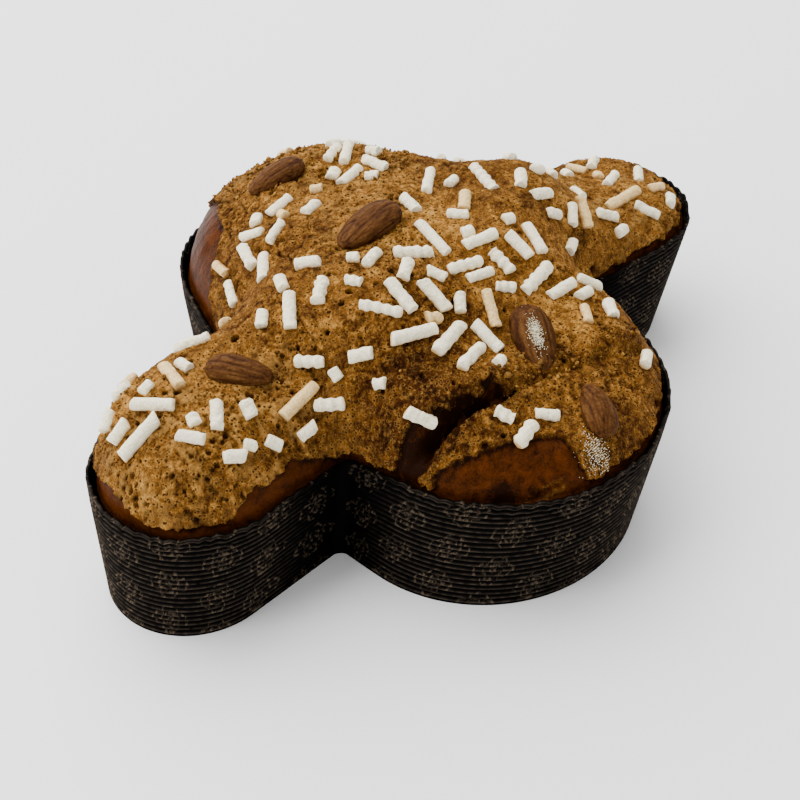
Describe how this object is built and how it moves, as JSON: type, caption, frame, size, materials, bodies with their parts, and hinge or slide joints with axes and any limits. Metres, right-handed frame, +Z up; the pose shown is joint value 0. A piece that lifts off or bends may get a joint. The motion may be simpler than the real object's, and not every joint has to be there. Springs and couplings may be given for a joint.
{
  "type": "colomba cake",
  "caption": "Dove-shaped festive loaf, domed and crusty, topped with almonds and sugar rods, standing in its low flared paper baking case.",
  "frame": {"origin": "middle of the case's bounding rectangle, on the surface that it stands on", "axes": "+X from the dove's tail to its head, +Y towards its right wing, +Z up"},
  "size_m": [0.2794, 0.2192, 0.0984],
  "materials": {
    "crust": "baked macaron crust with sugar rods, dry and pitted",
    "case_paper": "dark corrugated baking paper with a faint printed ornament",
    "almond_skin": "wrinkled brown almond skin"
  },
  "bodies": {
    "root": {"cake": "crust", "paper_case": "case_paper", "almond_1": "almond_skin", "almond_2": "almond_skin", "almond_3": "almond_skin", "almond_4": "almond_skin", "almond_5": "almond_skin"}
  },
  "joints": []
}
